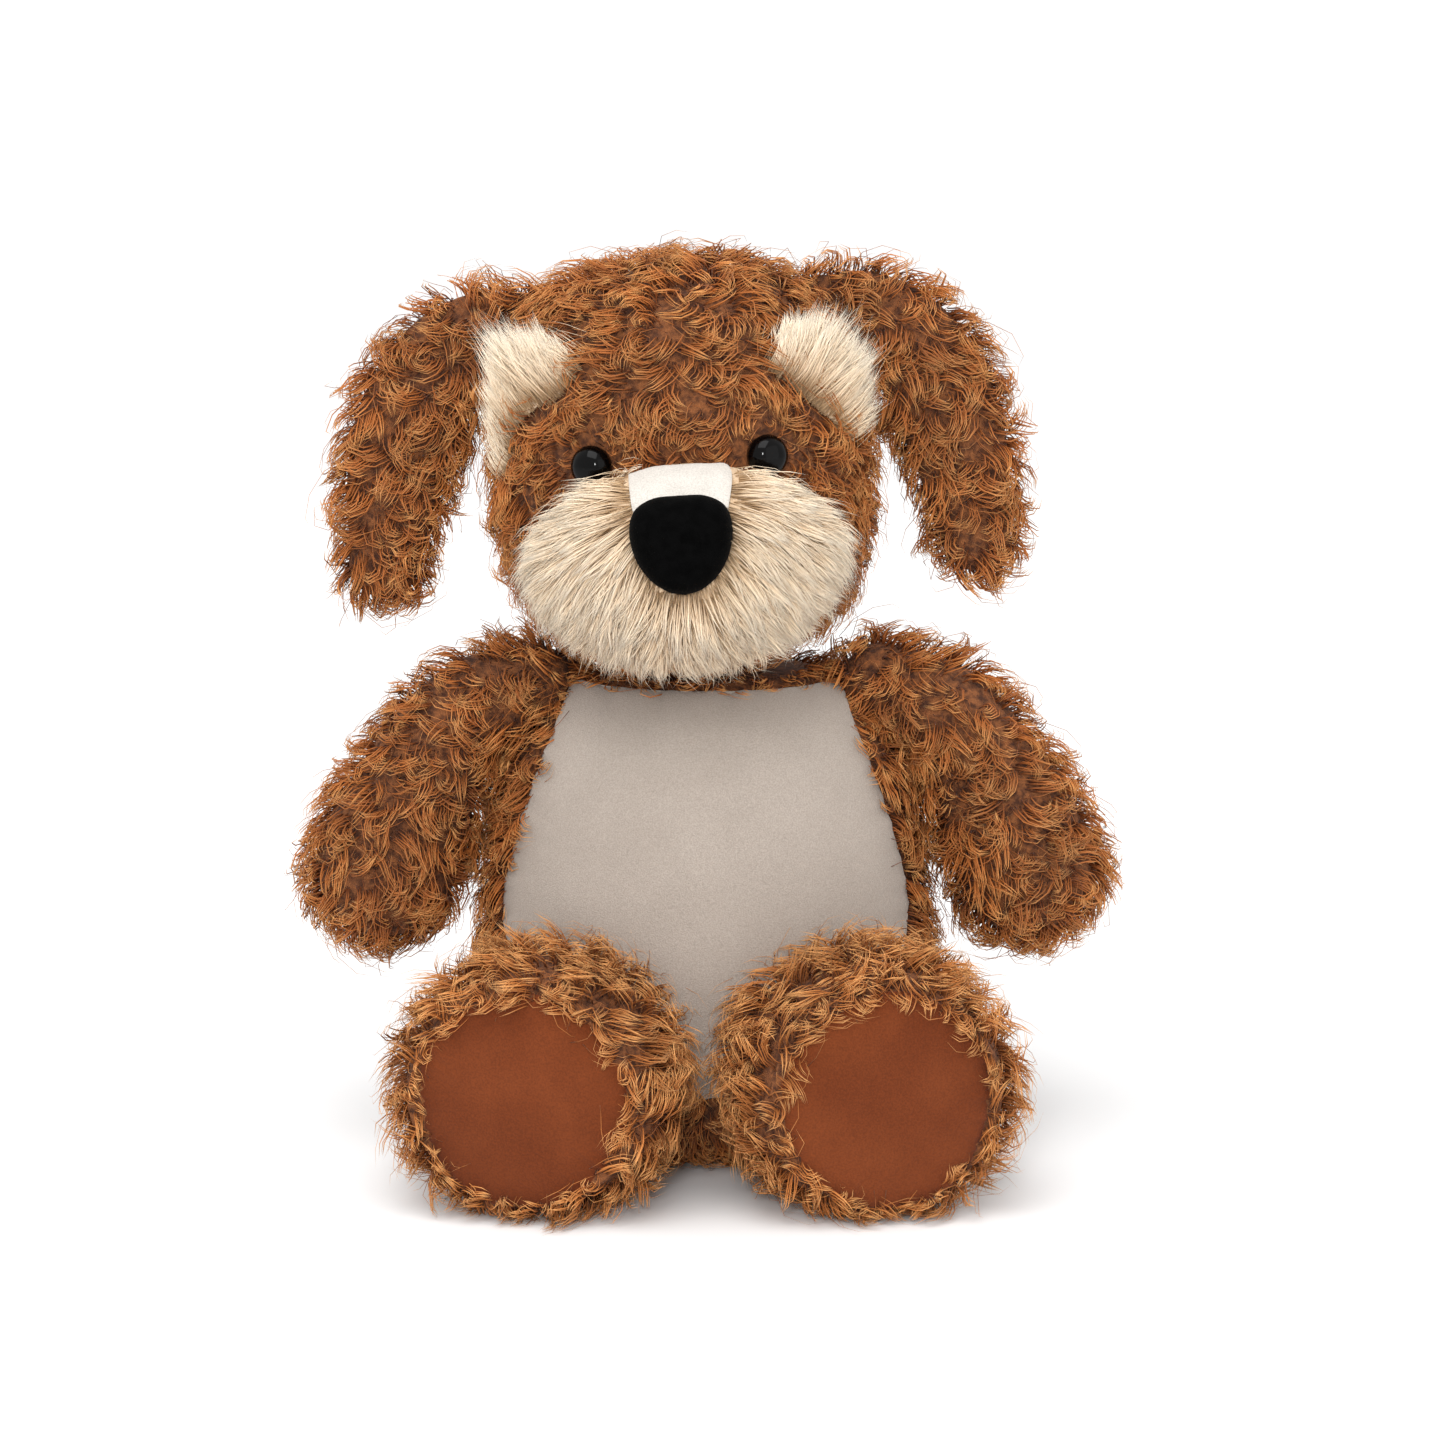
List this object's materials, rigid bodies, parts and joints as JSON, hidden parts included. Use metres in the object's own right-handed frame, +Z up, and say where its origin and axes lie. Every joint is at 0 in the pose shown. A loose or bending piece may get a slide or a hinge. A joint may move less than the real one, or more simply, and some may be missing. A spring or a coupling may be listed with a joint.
{
  "type": "plush dog",
  "caption": "Seated plush puppy with floppy hanging ears, curly brown pile, a pale tummy panel, suede soles and a long-haired cream muzzle.",
  "frame": {"origin": "middle of the footprint box, on the surface the puppy sits on", "axes": "+Z up, -Y the way the face and the soles look, +X towards the puppy's own left"},
  "size_m": [0.2354, 0.1758, 0.2632],
  "materials": {
    "curly_plush": "matte",
    "long_plush": "matte",
    "smooth_plush": "matte",
    "white_plush": "matte",
    "suede": "matte",
    "black_plush": "matte",
    "fibre_fill": "matte",
    "pellet_cloth": "matte",
    "eye_plastic": "gloss",
    "washer_plastic": "satin"
  },
  "bodies": {
    "torso": {"torso_skin": "curly_plush", "tummy_panel": "smooth_plush", "torso_filling": "fibre_fill", "pellet_bag": "pellet_cloth"},
    "neck": {"neck_filling": "fibre_fill"},
    "head": {"head_skin": "curly_plush", "head_filling": "fibre_fill", "muzzle_right": "long_plush", "muzzle_left": "long_plush", "nose_bridge": "white_plush", "nose_pad": "black_plush", "eye_right": "eye_plastic", "eye_left": "eye_plastic", "eye_washer_right": "washer_plastic", "eye_washer_left": "washer_plastic", "brow_right": "long_plush", "brow_left": "long_plush"},
    "tail": {"tail_skin": "curly_plush", "tail_filling": "fibre_fill"},
    "ear_right": {"ear_right_front": "curly_plush", "ear_right_back": "curly_plush"},
    "arm_right": {"arm_right_skin": "curly_plush", "arm_right_filling": "fibre_fill"},
    "leg_right": {"leg_right_skin": "curly_plush", "leg_right_filling": "fibre_fill", "leg_right_sole": "suede"},
    "ear_left": {"ear_left_front": "curly_plush", "ear_left_back": "curly_plush"},
    "arm_left": {"arm_left_skin": "curly_plush", "arm_left_filling": "fibre_fill"},
    "leg_left": {"leg_left_skin": "curly_plush", "leg_left_filling": "fibre_fill", "leg_left_sole": "suede"}
  },
  "joints": [
    {"name": "head_turn", "type": "hinge", "parent": "torso", "child": "neck", "pos_m": [-0.004, 0.01221, 0.16], "axis": [0, 0, 1], "range_deg": [-20, 20], "stiffness_Nm_per_rad": 0.4},
    {"name": "head_nod", "type": "hinge", "parent": "neck", "child": "head", "pos_m": [-0.004, 0.01221, 0.16], "axis": [1, 0, 0], "range_deg": [-10, 12], "stiffness_Nm_per_rad": 1.2},
    {"name": "ear_right_lift", "type": "hinge", "parent": "head", "child": "ear_right", "pos_m": [-0.0535, 0.00621, 0.24596], "axis": [0, 1, 0], "range_deg": [-4, 45], "stiffness_Nm_per_rad": 0.06},
    {"name": "ear_left_lift", "type": "hinge", "parent": "head", "child": "ear_left", "pos_m": [0.03433, 0.00621, 0.25149], "axis": [0, -1, 0], "range_deg": [-4, 45], "stiffness_Nm_per_rad": 0.06},
    {"name": "arm_right_lift", "type": "hinge", "parent": "torso", "child": "arm_right", "pos_m": [-0.052, 0.01021, 0.137], "axis": [-0.1564, 0.9877, 0], "range_deg": [-5, 35], "stiffness_Nm_per_rad": 0.3},
    {"name": "arm_left_lift", "type": "hinge", "parent": "torso", "child": "arm_left", "pos_m": [0.052, 0.01021, 0.137], "axis": [-0.1564, -0.9877, 0], "range_deg": [-5, 35], "stiffness_Nm_per_rad": 0.3},
    {"name": "leg_right_lift", "type": "hinge", "parent": "torso", "child": "leg_right", "pos_m": [-0.0385, -0.01691, 0.0348], "axis": [-0.9816, 0.1908, 0], "range_deg": [0, 25], "stiffness_Nm_per_rad": 0.3},
    {"name": "leg_left_lift", "type": "hinge", "parent": "torso", "child": "leg_left", "pos_m": [0.0385, -0.01691, 0.0348], "axis": [-0.9816, -0.1908, 0], "range_deg": [0, 25], "stiffness_Nm_per_rad": 0.3},
    {"name": "tail_wag", "type": "hinge", "parent": "torso", "child": "tail", "pos_m": [0, 0.06228, 0.034], "axis": [0, 0, 1], "range_deg": [-25, 25], "stiffness_Nm_per_rad": 0.08}
  ]
}
